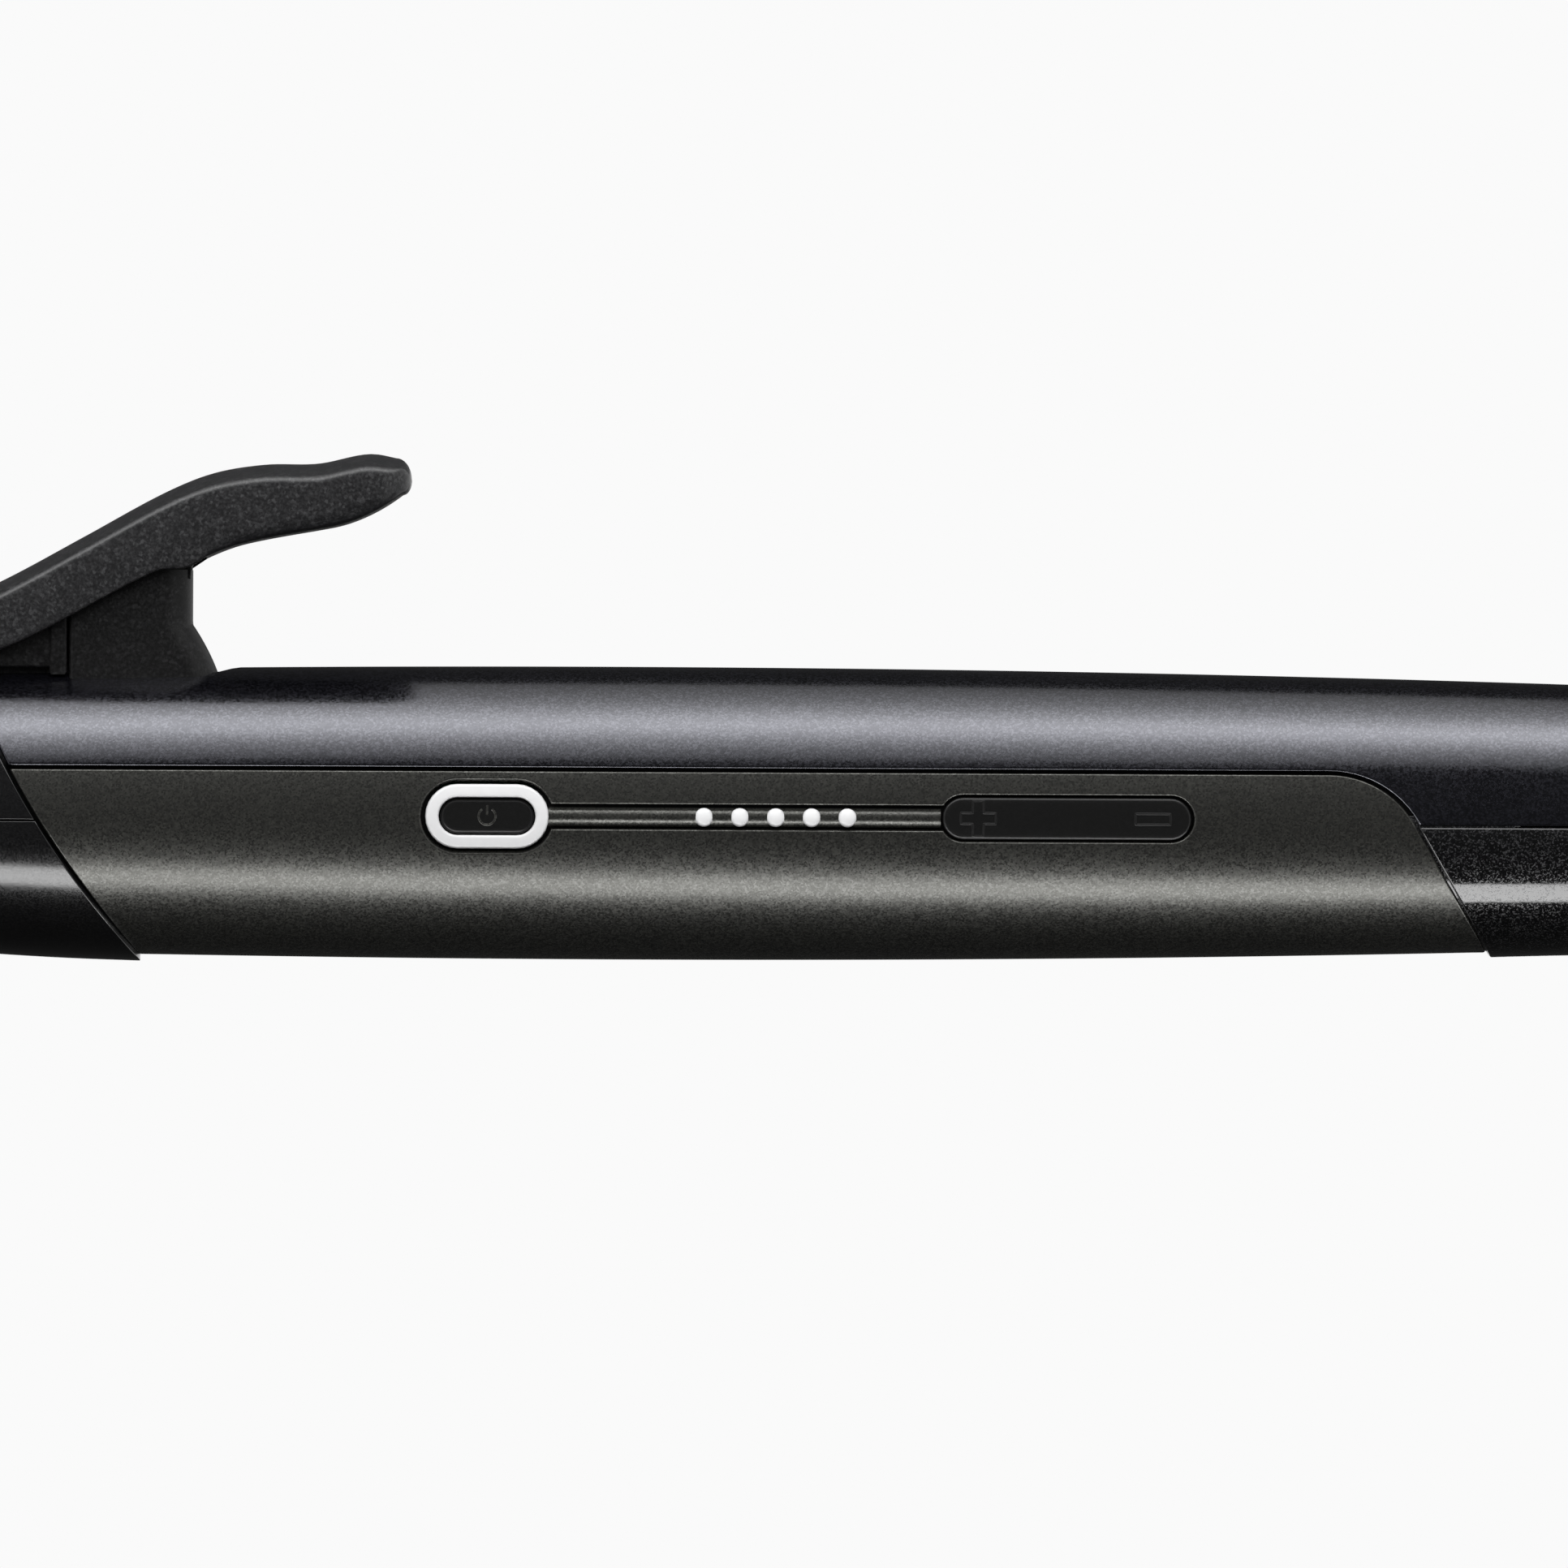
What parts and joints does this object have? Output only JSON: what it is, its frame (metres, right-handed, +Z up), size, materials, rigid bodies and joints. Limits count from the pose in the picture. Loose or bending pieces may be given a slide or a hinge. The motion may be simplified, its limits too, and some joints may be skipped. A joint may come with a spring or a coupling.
{
  "type": "curling iron",
  "caption": "Hair curling iron with a spring clamp on a round heated barrel, a round handle with a side control strip, a thumb lever, a fold-out stand and a cord swivel.",
  "frame": {"origin": "middle of the bounding box on the surface that the iron rests on", "axes": "+X towards the tail and the cord, +Y away from the controls, +Z up; the handle's axis is tipped 4.90 degrees about +Y, tail down, because the iron stands on its stand"},
  "size_m": [0.3739, 0.0372, 0.0676],
  "materials": {
    "satin_charcoal": "satin",
    "gloss_black": "gloss",
    "lever_black": "satin",
    "grip_grey": "matte",
    "white_lens": "gloss",
    "key_black": "satin",
    "tip_black": "satin",
    "barrel_metal": "satin",
    "spoon_metal": "satin",
    "bright_steel": "satin",
    "spreader_metal": "cast",
    "white_ceramic": "fired",
    "bush_brown": "moulded",
    "board_green": "lacquered",
    "part_black": "moulded",
    "part_yellow": "moulded",
    "lamp_white": "gloss",
    "brass": "turned",
    "lead_red": "matte",
    "sleeve_rubber": "matte"
  },
  "bodies": {
    "handle": {"barrel_spigot": "bright_steel", "barrel_tube": "barrel_metal", "board_screws": "bright_steel", "brush_holder": "bush_brown", "ceramic_heater": "white_ceramic", "collar_lower": "gloss_black", "collar_upper": "gloss_black", "contact_brushes": "part_black", "control_board": "board_green", "cool_tip": "tip_black", "film_capacitor": "part_yellow", "grip_panel": "grip_grey", "heat_spreader_lower": "spreader_metal", "heat_spreader_upper": "spreader_metal", "heater_leads": "lead_red", "hinge_post": "lever_black", "indicator_leds": "lamp_white", "insulating_bush": "bush_brown", "light_guide": "white_lens", "lower_shell": "gloss_black", "mains_leads": "lead_red", "post_screws": "bright_steel", "power_ring": "white_lens", "rocker_pin": "bright_steel", "shell_screws": "bright_steel", "swivel_bearing": "bush_brown", "tact_switches": "part_black", "thermal_fuse": "lamp_white", "thermistor": "lamp_white", "tip_washer": "bush_brown", "triac": "part_black", "upper_shell": "satin_charcoal"},
    "clamp": {"thumb_lever": "lever_black", "hinge_pin": "bright_steel", "torsion_spring": "bright_steel", "clamp_spoon": "spoon_metal", "clamp_rivets": "bright_steel"},
    "power_key": {"power_button": "key_black"},
    "heat_key": {"rocker_key": "key_black"},
    "stand": {"stand_wire": "bright_steel", "stand_sleeve": "sleeve_rubber"},
    "swivel": {"swivel_gland": "tip_black", "slip_rings": "brass"}
  },
  "joints": [
    {"name": "clamp_hinge", "type": "hinge", "parent": "handle", "child": "clamp", "pos_m": [0.00486, 0, 0.06072], "axis": [0, 1, 0], "range_deg": [0, 16], "stiffness_Nm_per_rad": 0.6, "springref_deg": -17.19},
    {"name": "power_press", "type": "slide", "parent": "handle", "child": "power_key", "axis": [0, 1, 0], "range_m": [0, 0.0005], "stiffness_N_per_m": 2500, "springref_m": -0.0002},
    {"name": "heat_rocker", "type": "hinge", "parent": "handle", "child": "heat_key", "pos_m": [0.10198, -0.0124, 0.02049], "axis": [0.0854, 0, 0.9964], "range_deg": [-2, 2], "stiffness_Nm_per_rad": 0.5},
    {"name": "stand_fold", "type": "hinge", "parent": "handle", "child": "stand", "pos_m": [-0.028, 0, 0.03092], "axis": [0, 1, 0], "range_deg": [-74, 0]},
    {"name": "cord_swivel", "type": "hinge", "parent": "handle", "child": "swivel", "pos_m": [0.17735, 0, 0.01453], "axis": [0.9964, 0, -0.0854], "continuous": true}
  ]
}
